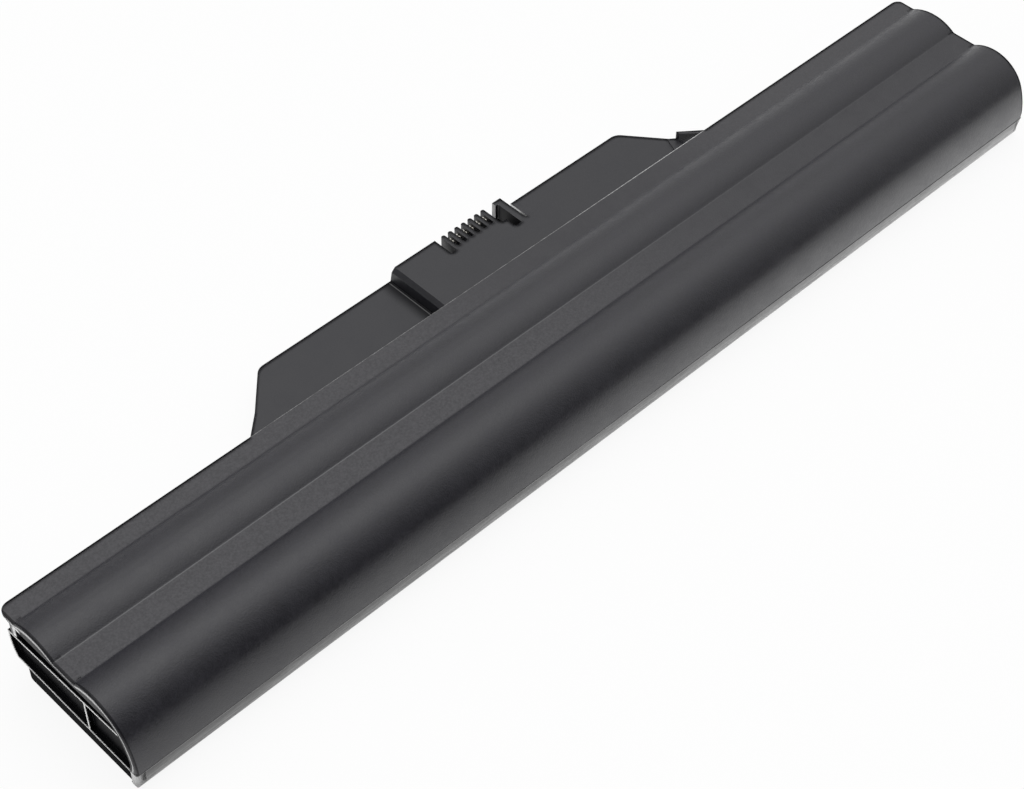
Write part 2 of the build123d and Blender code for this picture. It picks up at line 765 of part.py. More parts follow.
power_leads = (
    ("negative_lead", -stack_length / 2, joint_xs[0], board_left_x + board_pad_depth),
    ("positive_lead", stack_length / 2, joint_xs[-1], board_right_x - board_pad_depth),
)
for name, strip_x, joint_x, pad_x in power_leads:
    inner_x = joint_x + math.copysign(strip_thickness / 2, joint_x - strip_x)
    with BuildPart() as power_lead:
        with BuildSketch(Plane.XY.offset(channel_top)):
            with Locations(((strip_x + inner_x) / 2, (channel_front + channel_back) / 2)):
                Rectangle(abs(strip_x - inner_x), lead_width)
        extrude(amount=-strip_thickness)
        with BuildSketch(Plane.YZ.offset(joint_x - strip_thickness / 2)):
            add(drop_outline.sketch)
        extrude(amount=strip_thickness)
        with BuildSketch(Plane.XY.offset(board_top)):
            with Locations(((pad_x + joint_x) / 2, power_lead_y + lead_width / 2)):
                Rectangle(abs(pad_x - joint_x) + strip_thickness, lead_width)
        extrude(amount=strip_thickness)
    power_lead.part.label = name
    export_step(power_lead.part, f"parts/{name}.step")

# Sense leads: flat strips from under each link's tail to the board
sense_pads = (board_left_x + board_pad_depth, joint_xs[1], board_right_x - board_pad_depth)
for number, (joint_x, pad_x) in enumerate(zip(joint_xs, sense_pads), start=1):
    with BuildPart() as sense_lead:
        with BuildSketch(Plane.XY.offset(board_top)):
            with Locations((joint_x, back_wall_y + seam_gap)):
                Rectangle(lead_width, sense_lead_reach, align=(Align.CENTER, Align.MIN))
            with Locations(((joint_x + pad_x) / 2, back_wall_y + seam_gap + sense_lead_reach)):
                Rectangle(abs(pad_x - joint_x) + lead_width, lead_width, align=(Align.CENTER, Align.MAX))
        extrude(amount=strip_thickness)
    sense_lead.part.label = f"sense_lead_{number}"
    export_step(sense_lead.part, f"parts/sense_lead_{number}.step")

# Insulating pads between the end strips and the housing's ends
for name, low_x in (("end_pad_left", -bay_half), ("end_pad_right", bay_half - pad_thickness)):
    with BuildPart() as end_pad:
        with BuildSketch(Plane.YZ.offset(low_x)):
            add(bay_outline.sketch)
            offset(amount=-pad_thickness)
        extrude(amount=pad_thickness)
    end_pad.part.label = name
    export_step(end_pad.part, f"parts/{name}.step")
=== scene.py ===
import bpy
import bmesh
import json
import math
import numpy as np
from mathutils import Matrix, Vector


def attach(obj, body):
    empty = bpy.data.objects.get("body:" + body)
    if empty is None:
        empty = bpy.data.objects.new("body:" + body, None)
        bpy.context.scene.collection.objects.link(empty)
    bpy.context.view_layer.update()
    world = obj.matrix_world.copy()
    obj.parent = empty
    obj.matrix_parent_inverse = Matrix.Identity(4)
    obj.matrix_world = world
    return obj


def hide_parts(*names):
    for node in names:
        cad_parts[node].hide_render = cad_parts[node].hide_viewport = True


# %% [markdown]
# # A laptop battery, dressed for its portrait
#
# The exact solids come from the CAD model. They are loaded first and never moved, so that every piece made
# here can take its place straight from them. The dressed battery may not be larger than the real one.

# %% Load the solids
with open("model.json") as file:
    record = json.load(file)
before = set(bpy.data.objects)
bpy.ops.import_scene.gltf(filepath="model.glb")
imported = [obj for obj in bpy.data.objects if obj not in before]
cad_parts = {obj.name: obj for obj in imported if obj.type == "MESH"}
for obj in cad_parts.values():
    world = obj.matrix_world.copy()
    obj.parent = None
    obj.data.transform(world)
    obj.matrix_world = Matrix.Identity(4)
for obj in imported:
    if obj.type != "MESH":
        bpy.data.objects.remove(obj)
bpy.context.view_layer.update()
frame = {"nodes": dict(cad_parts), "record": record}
nodes = frame["nodes"]
print("solids loaded:", len(nodes))

# %% [markdown]
# # Sizes in metres
#
# The case is drawn from a few sizes, as its designer would give them. The cells set nearly all of them: each
# hump is the wall bent round a row of cells, and the strip and the valley are the flats that tie the two
# rows together. What lies before front_side belongs to the front face.

# %% Sizes of the case
mm = 0.001
cell_height = 10.0 * mm
case_radius = 10.0 * mm
back_row_y = -2.4 * mm
front_row_y = -20.7 * mm
strip_level = 18.3 * mm
valley_level = 18.2 * mm
back_hump_level = 20.1 * mm
hump_half_width = 6.2 * mm
crease_y = back_row_y + hump_half_width
valley_back_y = back_row_y - hump_half_width
front_y = -31.6 * mm
front_side = -30.0 * mm
front_parting = 5.6 * mm
back_parting = 14.1 * mm
front_break_turn = math.radians(158)
back_wall_y = back_row_y + case_radius
flange_overhang = 1.5 * mm
flange_back = back_wall_y + flange_overhang
flange_thickness = 1.2 * mm
cover_half = 134.0 * mm
bay_half = 131.7 * mm
housing_end = 132.5 * mm
rib_end = 133.6 * mm
lip_depth = 2.0 * mm
lip_end_back = front_y + lip_depth
print("case length and width in mm:", round(2 * cover_half / mm, 1), round((flange_back - front_y) / mm, 1))


# %% [markdown]
# # Materials as small networks
#
# A finish on moulded plastic is never one colour. These helpers build node networks with a few short calls:
# a node with its values, a step of arithmetic, a soft step, a blend of two values or colours, and a grain.

# %% Node helpers
def feed(tree, socket, value):
    """Gives an input socket its value: an output socket is wired to it, a number or a colour is set on it."""
    if isinstance(value, bpy.types.NodeSocket):
        tree.links.new(value, socket)
    elif isinstance(value, tuple) and len(value) < len(socket.default_value):
        socket.default_value = (*value, 1.0)
    else:
        socket.default_value = value


def add_node(tree, kind, **values):
    """A new node of a kind; names that are no property of it are the names of its input sockets."""
    node = tree.nodes.new(kind)
    for name, value in values.items():
        if hasattr(node, name):
            setattr(node, name, value)
        else:
            feed(tree, node.inputs[name.replace("_", " ").title()], value)
    return node


def maths(tree, operation, first, second=0.0):
    """One step of arithmetic on two values, each a number or an output socket."""
    node = add_node(tree, "ShaderNodeMath", operation=operation)
    feed(tree, node.inputs[0], first)
    feed(tree, node.inputs[1], second)
    return node.outputs[0]


def vector_maths(tree, operation, result, first, second):
    """One step of arithmetic on two vectors; the result is the socket Vector, or Value for a dot product."""
    node = add_node(tree, "ShaderNodeVectorMath", operation=operation)
    feed(tree, node.inputs[0], first)
    feed(tree, node.inputs[1], second)
    return node.outputs[result]


def step_up(tree, value, low, high):
    """Nought below low, one above high, and a smooth rise between them."""
    limits = {"From_Min": low, "From_Max": high}
    node = add_node(tree, "ShaderNodeMapRange", interpolation_type="SMOOTHSTEP", Value=value, **limits)
    return node.outputs["Result"]


def blend(tree, factor, first, second):
    """A value that goes from first to second as the factor goes from nought to one."""
    node = add_node(tree, "ShaderNodeMix", data_type="FLOAT", Factor=factor, A=first, B=second)
    return node.outputs["Result"]


# The mix node names its number and its colour sockets alike, so the colour ones are reached by their places.
first_colour, second_colour, mixed_colour = 6, 7, 2


def blend_colour(tree, factor, first, second):
    """A colour that goes from first to second as the factor goes from nought to one."""
    node = add_node(tree, "ShaderNodeMix", data_type="RGBA", Factor=factor)
    feed(tree, node.inputs[first_colour], first)
    feed(tree, node.inputs[second_colour], second)
    return node.outputs[mixed_colour]


def noise(tree, place, size, detail=2.0):
    """Noise whose lumps are about one size across, as a value near a half."""
    node = add_node(tree, "ShaderNodeTexNoise", Vector=place, Scale=1.0 / size, Detail=detail)
    return node.outputs["Fac"]


def grain(tree, place, size, low=0.3, high=0.7, detail=2.0):
    """Noise with its contrast raised, so that it reaches nought and one."""
    return step_up(tree, noise(tree, place, size, detail), low, high)


def stretched(tree, place, scale):
    """A place with scaled axes: noise laid on it is drawn out along an axis with a small scale."""
    return add_node(tree, "ShaderNodeMapping", Vector=place, Scale=scale).outputs["Vector"]


def new_material(name):
    """An empty material, with its tree and the object's own coordinates."""
    material = bpy.data.materials.new(name)
    material.use_nodes = True
    tree = material.node_tree
    tree.nodes.clear()
    return material, tree, add_node(tree, "ShaderNodeTexCoord").outputs["Object"]


def axis_values(tree, place):
    """The three coordinates of a place, as separate values."""
    node = add_node(tree, "ShaderNodeSeparateXYZ", Vector=place)
    return node.outputs["X"], node.outputs["Y"], node.outputs["Z"]


# %% [markdown]
# # The black plastic of the case
#
# The case is one black plastic, moulded with a fine spark-eroded grain. Every moulding starts from the same
# paint: noise at three sizes drives the colour, the roughness and the relief. The paint is kept as a set of
# named values, so that each moulding can change a value in a zone before its shader is wired up. A zone is
# a mask: one inside it, nought outside, with a short blur between.

# %% Paint for black plastic
fine_size, middle_size, broad_size = 0.3 * mm, 1.1 * mm, 6.0 * mm
roughness_spread = 0.06
outline_share = 0.97
mask_blur = 0.05 * mm


def above(tree, value, limit, blur=mask_blur):
    """One above the limit, nought below it."""
    return step_up(tree, value, limit - blur, limit + blur)


def opposite(tree, mask):
    """One where the mask is nought, and nought where it is one."""
    return maths(tree, "SUBTRACT", 1.0, mask)


def below(tree, value, limit, blur=mask_blur):
    """One below the limit, nought above it."""
    return opposite(tree, above(tree, value, limit, blur))


def all_of(tree, *masks):
    """The product of masks and shares: one only where all of them are one."""
    product = masks[0]
    for mask in masks[1:]:
        product = maths(tree, "MULTIPLY", product, mask)
    return product


def any_of(tree, *masks):
    """The largest of several masks."""
    largest = masks[0]
    for mask in masks[1:]:
        largest = maths(tree, "MAXIMUM", largest, mask)
    return largest


def within(tree, value, low, high, blur=mask_blur):
    """One between low and high, nought outside."""
    return all_of(tree, above(tree, value, low, blur), below(tree, value, high, blur))


def start_plastic(name, dark, light, roughness, grain_depth):
    """The values of a moulded plastic, between two shades, before its zones are added."""
    material, tree, place = new_material(name)
    x, y, z = axis_values(tree, place)
    fine = grain(tree, place, fine_size)
    middle = grain(tree, place, middle_size, 0.25, 0.75)
    broad = grain(tree, place, broad_size, 0.25, 0.75)
    cloud = blend(tree, 0.5, middle, broad)
    mottle = blend(tree, 0.5, fine, cloud)
    return {
        "material": material, "tree": tree, "place": place,
        "x": x, "y": y, "z": z, "out": maths(tree, "ABSOLUTE", x),
        "fine": fine, "cloud": cloud,
        "colour": blend_colour(tree, mottle, dark, light),
        "roughness": blend(tree, cloud, roughness - roughness_spread, roughness + roughness_spread),
        "relief": mottle, "relief_depth": grain_depth,
        "outline": outline_share, "shadow": 0.0,
    }


def colour_zone(paint, mask, colour):
    """Gives the paint another colour where the mask is one."""
    paint["colour"] = blend_colour(paint["tree"], mask, paint["colour"], colour)


def shade_zone(paint, mask, share):
    """Lays a share of dead black over the paint where the mask is one."""
    paint["shadow"] = any_of(paint["tree"], paint["shadow"], all_of(paint["tree"], mask, share))


plain_dark, plain_light = (0.0083, 0.008, 0.0115), (0.0185, 0.018, 0.0245)
connector_paint = start_plastic("connector_black", plain_dark, plain_light, 0.5, 0.01 * mm)
print("values in a paint:", ", ".join(connector_paint))

# %% [markdown]
# Painted edge highlights and painted dark outlines
#
# Each sharp edge is rounded in the shading by a quarter of a millimetre, and edges that turn to the front or
# to the left get a painted highlight. Upward faces have a dark outline along their edges to the back and to
# the right, as the photograph shows it, and this outline is painted shade: a second, wider rounding finds it.
# An outline or a shadow is a dead black that mirrors nothing, mixed over the plastic.

# %% Edges and shader
edge_round = 0.25 * mm
outline_round = 1.6 * mm
# Leans that start the painted edge highlight and the painted dark outline.
highlight_lean, outline_lean = (0.12, 0.4), (0.05, 0.16)
upward_look = (0.75, 0.85)
# Strength and colour of the painted highlight on edges that turn to the front or to the left.
least_highlight, most_highlight = 0.2, 0.9
edge_highlight_colour = (0.13, 0.13, 0.135)
dead_black = (0.004, 0.004, 0.0045)
to_back_right, to_front_left = (0.5, 0.87, 0.0), (-0.87, -0.5, 0.0)


def soft_edges(tree, radius):
    """The surface's normal with every sharp edge rounded by a small radius."""
    return add_node(tree, "ShaderNodeBevel", samples=6, Radius=radius).outputs["Normal"]


def face_normal(tree):
    """The way that a face looks, without any rounding."""
    return add_node(tree, "ShaderNodeNewGeometry").outputs["True Normal"]


def lean(tree, normal, heading):
    """How far a rounded edge leans away from its face, towards a heading."""
    away = vector_maths(tree, "SUBTRACT", "Vector", normal, face_normal(tree))
    return vector_maths(tree, "DOT_PRODUCT", "Value", away, heading)


def with_relief(tree, normal, height, depth):
    """A normal with relief: a height of nought to one stands for a depth in metres."""
    bump = add_node(tree, "ShaderNodeBump", Strength=1.0, Distance=depth, Height=height, Normal=normal)
    return bump.outputs["Normal"]


def mix_shaders(tree, factor, first, second):
    """A shader that goes from first to second as the factor goes from nought to one."""
    node = add_node(tree, "ShaderNodeMixShader", Fac=factor)
    feed(tree, node.inputs[1], first.outputs[0])
    feed(tree, node.inputs[2], second.outputs[0])
    return node


def finish_plastic(paint):
    """Wires the paint to a shader and to the material's output, and returns the material."""
    tree = paint["tree"]
    soft = soft_edges(tree, edge_round)
    # Painted highlight on edges that turn to the front or to the left, varied by the cloud.
    lit_edge = step_up(tree, lean(tree, soft, to_front_left), *highlight_lean)
    edge_highlight = all_of(tree, lit_edge, blend(tree, paint["cloud"], least_highlight, most_highlight))
    plastic = add_node(
        tree, "ShaderNodeBsdfPrincipled",
        Base_Color=blend_colour(tree, edge_highlight, paint["colour"], edge_highlight_colour),
        Roughness=paint["roughness"],
        Normal=with_relief(tree, soft, paint["relief"], paint["relief_depth"]),
    )
    black = add_node(tree, "ShaderNodeBsdfDiffuse", Color=dead_black)
    # Painted shade: a dark outline on upward faces, along their edges to the back and to the right.
    upward = step_up(tree, axis_values(tree, face_normal(tree))[2], *upward_look)
    far = step_up(tree, lean(tree, soft_edges(tree, outline_round), to_back_right), *outline_lean)
    outline = all_of(tree, upward, far, paint["outline"])
    surface = mix_shaders(tree, any_of(tree, outline, paint["shadow"]), plastic, black)
    add_node(tree, "ShaderNodeOutputMaterial", Surface=surface.outputs[0])
    return paint["material"]


connector_black = finish_plastic(connector_paint)
print("nodes in the plain plastic:", len(connector_paint["tree"].nodes))

# %% [markdown]
# # The cover's flats
#
# The flat strip behind the humps and the valley between them carry a coarser grain than the humps, and look
# lighter and more even for it. The humps are smoother, so that soft lamps slide over them as long
# gradients. The strip is darkest beside the connector, and the valley darkens towards the right.

# %% Flats of the cover
flat_dark, flat_light = (0.0125, 0.012, 0.016), (0.0525, 0.051, 0.057)
strip_middle, strip_right = (0.0165, 0.016, 0.0205), (0.033, 0.032, 0.0365)
valley_right = (0.0205, 0.02, 0.0245)
valley_flat = (-14.9 * mm, -8.7 * mm)
coarse_size = 0.5 * mm
cloud_share, right_share = 0.4, 0.65


def paint_flats(paint):
    """The coarse grain of the strip and of the valley, with a little less gloss than the humps."""
    tree, x, y, z = paint["tree"], paint["x"], paint["y"], paint["z"]
    behind_crease = above(tree, y, crease_y + 0.05 * mm, 0.25 * mm)
    on_strip = all_of(tree, behind_crease, above(tree, z, strip_level - 0.5 * mm, 0.2 * mm))
    on_valley = within(tree, y, *valley_flat, 0.15 * mm)
    coarse = grain(tree, paint["place"], coarse_size, 0.22, 0.78)
    shade = blend(tree, cloud_share, coarse, paint["cloud"])
    colour = blend_colour(tree, shade, flat_dark, flat_light)
    by_connector = all_of(tree, on_strip, within(tree, x, -10 * mm, 60 * mm, 25 * mm))
    colour = blend_colour(tree, by_connector, colour, strip_middle)
    along_valley = all_of(tree, on_valley, step_up(tree, x, -20 * mm, 60 * mm))
    colour = blend_colour(tree, along_valley, colour, valley_right)
    at_right = all_of(tree, on_strip, step_up(tree, x, 50 * mm, 80 * mm), right_share)
    colour = blend_colour(tree, at_right, colour, strip_right)
    on_flats = any_of(tree, on_strip, on_valley)
    colour_zone(paint, on_flats, colour)
    duller = maths(tree, "ADD", paint["roughness"], 0.1)
    paint["roughness"] = blend(tree, on_flats, paint["roughness"], duller)


cover_paint = start_plastic("cover_black", plain_dark, plain_light, 0.4, 0.035 * mm)
paint_flats(cover_paint)
print("nodes with the flats:", len(cover_paint["tree"].nodes))

# %% [markdown]
# # The cover's long lines
#
# Where the flange lies over the tongue, its edge carries a thin painted highlight, faint and broken at the
# left and stronger at the right. Beyond the tongue the same edge has painted shade, and only there and at the
# two ends does the cover keep its painted dark outline. A painted highlight follows the crease behind the
# valley, and the foot of the front wall is a dark seam with painted shade, more so towards the right.

# %% Lines along the cover
# Colour of the painted highlight along the crease behind the valley.
crease_highlight = (0.12, 0.12, 0.125)
outline_zone = 2.1 * mm
tongue_left, tongue_right = -72.0 * mm, 63.0 * mm
foot_bottom, foot_top = 4.0 * mm, front_parting + 0.14 * mm


def grey(tree, value):
    """A colour with the same value in each of its three channels."""
    return add_node(tree, "ShaderNodeCombineColor", Red=value, Green=value, Blue=value).outputs["Color"]


def seam_shade(tree, x):
    """How much painted shade lies along the seam, which is a dark joint: it deepens towards the right."""
    return blend(tree, step_up(tree, x, -30 * mm, 60 * mm), 0.3, 0.7)


def paint_lines(paint):
    """The flange's painted highlight and painted shade, the crease's painted highlight, and the painted shade
    of the foot above the seam.
    """
    tree, x, y, z = paint["tree"], paint["x"], paint["y"], paint["z"]
    # Painted highlight along the flange's back edge where it lies over the tongue.
    flange_highlight = all_of(
        tree, above(tree, y, flange_back - 0.3 * mm, 0.04 * mm), above(tree, z, strip_level - 0.45 * mm),
        within(tree, x, tongue_left, tongue_right, 1.0 * mm),
    )
    # Strength of the painted highlight: faint and broken at the left, stronger at the right.
    highlight_breaks = grain(tree, paint["place"], 3.0 * mm)
    highlight_strength = blend(tree, step_up(tree, x, 0.0, 60 * mm), blend(tree, highlight_breaks, 0.05, 0.2), 0.5)
    colour_zone(paint, flange_highlight, grey(tree, all_of(tree, highlight_strength, blend(tree, paint["fine"], 0.5, 1.3))))
    # Beyond the tongue and at the two ends the cover keeps its painted dark outline.
    beside_tongue = opposite(tree, within(tree, x, tongue_left, tongue_right + 0.5 * mm, 0.5 * mm))
    at_back = all_of(tree, beside_tongue, above(tree, y, flange_back - outline_zone, 0.1 * mm))
    at_end = above(tree, paint["out"], cover_half - outline_zone, 0.1 * mm)
    paint["outline"] = all_of(tree, any_of(tree, at_back, at_end), paint["outline"])
    # Painted highlight along the crease behind the valley, fading towards the right.
    crease_highlight_zone = within(tree, y, valley_back_y - 0.12 * mm, valley_back_y + 0.1 * mm)
    crease_highlight_share = blend(tree, step_up(tree, x, -60 * mm, 80 * mm), 0.6, 0.1)
    colour_zone(paint, all_of(tree, crease_highlight_zone, crease_highlight_share), crease_highlight)
    # Painted shade on the foot of the front wall, along the seam.
    at_foot = all_of(tree, within(tree, z, foot_bottom, foot_top), below(tree, y, front_side))
    shade_zone(paint, at_foot, seam_shade(tree, x))
    # Painted shade on the flange's back edge beyond the tongue.
    back_edge_shade = above(tree, y, flange_back - 0.52 * mm, 0.1 * mm)
    shade_zone(paint, all_of(tree, beside_tongue, back_edge_shade), 0.8)


paint_lines(cover_paint)
print("nodes with the lines:", len(cover_paint["tree"].nodes))

# %% [markdown]
# # The cover's ends
#
# The narrow end face of the skin has a painted highlight along its outer edge and painted shade towards the
# inside. The point attribute "outside", which the skin is given further on, tells the two apart. Just below
# the flange's left corner the end face has a painted highlight spot. The round between the skin and its end
# face has painted shade.

# %% Ends of the cover
# Colours of the painted highlights on the skin's end face: along its outer edge, and the spot.
end_highlight_colour, spot_highlight_colour = (0.17, 0.17, 0.17), (0.45, 0.45, 0.45)
spot_y, spot_z = (2.0 * mm, 6.8 * mm), (14.4 * mm, 17.7 * mm)


def paint_ends(paint):
    """Painted highlights and painted shade on the end faces of the skin and the round beside them."""
    tree, x, y, z, out = paint["tree"], paint["x"], paint["y"], paint["z"], paint["out"]
    outside = add_node(tree, "ShaderNodeAttribute", attribute_name="outside").outputs["Fac"]
    end_face = step_up(tree, out, cover_half - 0.02 * mm, cover_half - 0.005 * mm)
    # Painted highlight along the outer edge of the end face.
    end_edge_highlight = all_of(tree, end_face, step_up(tree, outside, 0.6, 0.85))
    colour_zone(paint, end_edge_highlight, end_highlight_colour)
    # Painted highlight spot just below the flange's left corner.
    highlight_spot = all_of(
        tree, end_face, below(tree, x, 0.0),
        within(tree, y, *spot_y, 0.3 * mm), within(tree, z, *spot_z, 0.15 * mm),
    )
    colour_zone(paint, highlight_spot, spot_highlight_colour)
    # Painted shade over the rest of the end face.
    shade_zone(paint, all_of(tree, end_face, opposite(tree, any_of(tree, end_edge_highlight, highlight_spot))), 0.8)
    # Painted shade on the round between the skin and its end face, deeper towards the right.
    on_round = within(tree, out, cover_half - 0.62 * mm, cover_half - 0.02 * mm, 0.012 * mm)
    shade_zone(paint, on_round, blend(tree, step_up(tree, x, -100 * mm, 100 * mm), 0.6, 0.9))


paint_ends(cover_paint)
cover_black = finish_plastic(cover_paint)
print("nodes in the cover's finish:", len(cover_paint["tree"].nodes))

# %% [markdown]
# # The housing's ends
#
# Each end of the housing has shallow blind pockets between thin ribs. The pockets are in deep painted shadow,
# and so is the foot under them. The ribs' end faces are pale grey, varied by fine marks that run along the
# pack.

# %% Ends of the housing
rib_dark, rib_light = (0.5, 0.5, 0.49), (0.62, 0.62, 0.61)
rib_face = rib_end - 0.12 * mm
panel_start = housing_end - 1.0 * mm
panel_foot = 3.9 * mm
mark_size = 0.35 * mm


def long_marks(paint):
    """Fine marks that run along the pack."""
    drawn_out = stretched(paint["tree"], paint["place"], (0.06, 1.0, 1.0))
    return grain(paint["tree"], drawn_out, mark_size, detail=3.0)


def paint_panels(paint, behind_lip, marks):
    """The ribs, the pockets between them and the foot under them."""
    tree, z, out = paint["tree"], paint["z"], paint["out"]
    on_rib = all_of(tree, behind_lip, step_up(tree, out, rib_face, rib_face + 0.06 * mm))
    colour_zone(paint, on_rib, blend_colour(tree, marks, rib_dark, rib_light))
    in_pocket = all_of(tree, behind_lip, within(tree, out, panel_start, rib_face))
    shade_zone(paint, in_pocket, 0.9)
    at_end = step_up(tree, out, panel_start, panel_start + 0.1 * mm)
    shade_zone(paint, all_of(tree, behind_lip, at_end, below(tree, z, panel_foot, 0.1 * mm)), 0.95)


housing_paint = start_plastic("housing_black", plain_dark, plain_light, 0.36, 0.015 * mm)
behind_lip = step_up(housing_paint["tree"], housing_paint["y"], lip_end_back - 0.1 * mm, lip_end_back)
housing_marks = long_marks(housing_paint)
paint_panels(housing_paint, behind_lip, housing_marks)
print("nodes with the end panels:", len(housing_paint["tree"].nodes))

# %% [markdown]
# # The housing's front lip
#
# The lip is lighter than the plain plastic, as painted reflection that grows towards its bottom edge, with
# fine marks that run along it, and painted highlights make it lightest at its two ends. Just under the seam
# the left part has a painted highlight too. The seam itself is a dark joint with painted shade, and the line
# where the lip meets the table is a painted contact shadow.

# %% Front lip of the housing
# Greys of the lip: painted reflection in the middle and towards the bottom, painted highlights under the seam
# and at the ends.
lip_middle, lip_bottom_reflection, seam_highlight_grey, lip_end_highlight = 0.035, 0.2, 0.14, 0.42


def paint_lip(paint, behind_lip, marks):
    """The front lip between the seam and the table, with painted reflection, painted highlights and painted
    shade.
    """
    tree, x, y, z, out = paint["tree"], paint["x"], paint["y"], paint["z"], paint["out"]
    # Painted reflection grows towards the bottom edge, and a painted highlight lies just under the seam on
    # the left.
    lowness = opposite(tree, step_up(tree, z, 2.2 * mm, 5.0 * mm))
    under_seam = above(tree, z, 5.2 * mm, 0.1 * mm)
    lip_top_highlight = all_of(tree, under_seam, opposite(tree, step_up(tree, x, -10 * mm, 60 * mm)))
    light = blend(tree, lip_top_highlight, blend(tree, lowness, lip_middle, lip_bottom_reflection), seam_highlight_grey)
    # The fine marks along the lip vary its painted reflection.
    light = all_of(tree, light, blend(tree, marks, 0.6, 1.4))
    # Painted highlight at the lip's two ends.
    at_end = above(tree, out, cover_half - 0.9 * mm, 0.3 * mm)
    on_lip = all_of(tree, opposite(tree, behind_lip), below(tree, z, front_parting))
    colour_zone(paint, on_lip, grey(tree, blend(tree, at_end, light, lip_end_highlight)))
    # Painted shade along the seam, a dark joint, deepening towards the right.
    at_seam = all_of(tree, below(tree, y, front_side), within(tree, z, 5.45 * mm, 7 * mm))
    shade_zone(paint, at_seam, seam_shade(tree, x))
    # Painted contact shadow where the lip meets the table.
    table_contact_shadow = all_of(tree, below(tree, y, front_side + 1.0 * mm), below(tree, z, 0.5 * mm, 0.2 * mm))
    shade_zone(paint, table_contact_shadow, blend(tree, step_up(tree, x, -60 * mm, 60 * mm), 0.7, 0.2))


paint_lip(housing_paint, behind_lip, housing_marks)
housing_black = finish_plastic(housing_paint)
print("nodes in the housing's finish:", len(housing_paint["tree"].nodes))

# %% [markdown]
# # The tongue's plastic
#
# The tongue is smoother and darker than the strip. Little light reaches the step at the left of the connector
# block, and its shade is painted in, but a thin lighter line runs along its foot. The slit beside the post
# carries painted light inside, more so towards the back. The post's left side has painted shade, its back lip
# a painted highlight, and the front of the corner tab painted light.

# %% Tongue finish
tongue_dark, tongue_light = (0.006, 0.006, 0.009), (0.013, 0.013, 0.018)
block_left = -13.9 * mm
step_side = -14.6 * mm
step_level = 6.4 * mm
post_left, post_right = 18.2 * mm, 20.0 * mm
post_lip_y = 30.0 * mm
tab_x = 40.5 * mm
block_level = 9.7 * mm
# Greys of the foot line, of the post lip's painted highlight and of the tab's painted light.
line_light, post_lip_highlight, tab_painted_light = (0.08, 0.08, 0.08), (0.45, 0.45, 0.45), (0.2, 0.2, 0.205)


def paint_step(paint):
    """The dark step at the left of the connector block."""
    tree, x, z = paint["tree"], paint["x"], paint["z"]
    foot_line = all_of(
        tree, within(tree, x, step_side - 0.08 * mm, step_side + 0.18 * mm, 0.03 * mm),
        within(tree, z, 5.0 * mm, step_level, 0.02 * mm),
    )
    colour_zone(paint, foot_line, line_light)
    foot = all_of(
        tree, below(tree, z, step_level + 0.1 * mm), step_up(tree, x, -18.0 * mm, step_side),
        below(tree, x, block_left + 0.9 * mm), opposite(tree, foot_line),
    )
    shade_zone(paint, foot, 0.72)
    side = all_of(
        tree, within(tree, x, step_side, block_left + 0.04 * mm, 0.03 * mm),
        within(tree, z, step_level, 8.68 * mm, 0.03 * mm),
    )
    shade_zone(paint, side, 0.93)


def paint_post(paint):
    """Painted light in the slit, painted shade and a painted highlight on the post, and painted light on the
    corner tab.
    """
    tree, x, y, z = paint["tree"], paint["x"], paint["y"], paint["z"]
    # Painted light inside the slit beside the post, brighter towards the back.
    slit_painted_light = all_of(
        tree, within(tree, x, post_right - 0.05 * mm, post_right + 0.5 * mm, 0.02 * mm),
        step_up(tree, y, 22 * mm, 23.2 * mm), below(tree, z, block_level - 0.02 * mm, 0.01 * mm),
    )
    colour_zone(paint, slit_painted_light, grey(tree, blend(tree, step_up(tree, y, 23 * mm, 26.5 * mm), 0.3, 0.95)))
    look_x, look_y, _ = axis_values(tree, face_normal(tree))
    faces_left = opposite(tree, step_up(tree, look_x, -0.8, -0.5))
    faces_front = opposite(tree, step_up(tree, look_y, -0.8, -0.5))
    by_post = within(tree, x, 17 * mm, post_left + 0.2 * mm)
    on_lip = step_up(tree, y, post_lip_y, post_lip_y + 0.3 * mm)
    # Painted highlight on the left face of the post's back lip.
    colour_zone(paint, all_of(tree, faces_left, by_post, on_lip), post_lip_highlight)
    # Painted light on the front face of the corner tab.
    at_tab = all_of(tree, above(tree, x, tab_x, 0.5 * mm), above(tree, z, block_level + 0.1 * mm))
    colour_zone(paint, all_of(tree, faces_front, at_tab), tab_painted_light)
    on_side = within(tree, x, post_left - 0.1 * mm, post_left + 0.1 * mm)
    shade_zone(paint, all_of(tree, faces_left, on_side, within(tree, y, 22.5 * mm, post_lip_y)), 0.6)


tongue_paint = start_plastic("tongue_black", tongue_dark, tongue_light, 0.45, 0.01 * mm)
paint_step(tongue_paint)
paint_post(tongue_paint)
tongue_black = finish_plastic(tongue_paint)
print("nodes in the tongue's finish:", len(tongue_paint["tree"].nodes))

# %% [markdown]
# # What lies inside
#
# Nobody sees the inside of a sealed pack, but each thing in it is a part with a finish of its own, so that
# the pack can be shown opened. Metals get fine brush marks along the strip, paper gets fibres, the board
# gets the weave of its glass cloth, and the sleeves on the cells get the gloss of shrunk film.

# %% Inner finishes
inner_spread = 0.08
inner_round = 0.1 * mm


def inner_finish(name, dark, light, roughness, grain, stretch=(1, 1, 1), metallic=0.0, depth=0.01 * mm):
    """A finish between two colours: noise of one grain size, stretched along an axis, drives all of it."""
    material, tree, place = new_material(name)
    grains = noise(tree, stretched(tree, place, stretch), grain, 4.0)
    shader = add_node(
        tree, "ShaderNodeBsdfPrincipled", Metallic=metallic,
        Base_Color=blend_colour(tree, grains, dark, light),
        Roughness=blend(tree, grains, roughness - inner_spread, roughness + inner_spread),
        Normal=with_relief(tree, soft_edges(tree, inner_round), grains, depth),
    )
    add_node(tree, "ShaderNodeOutputMaterial", Surface=shader.outputs[0])
    return material


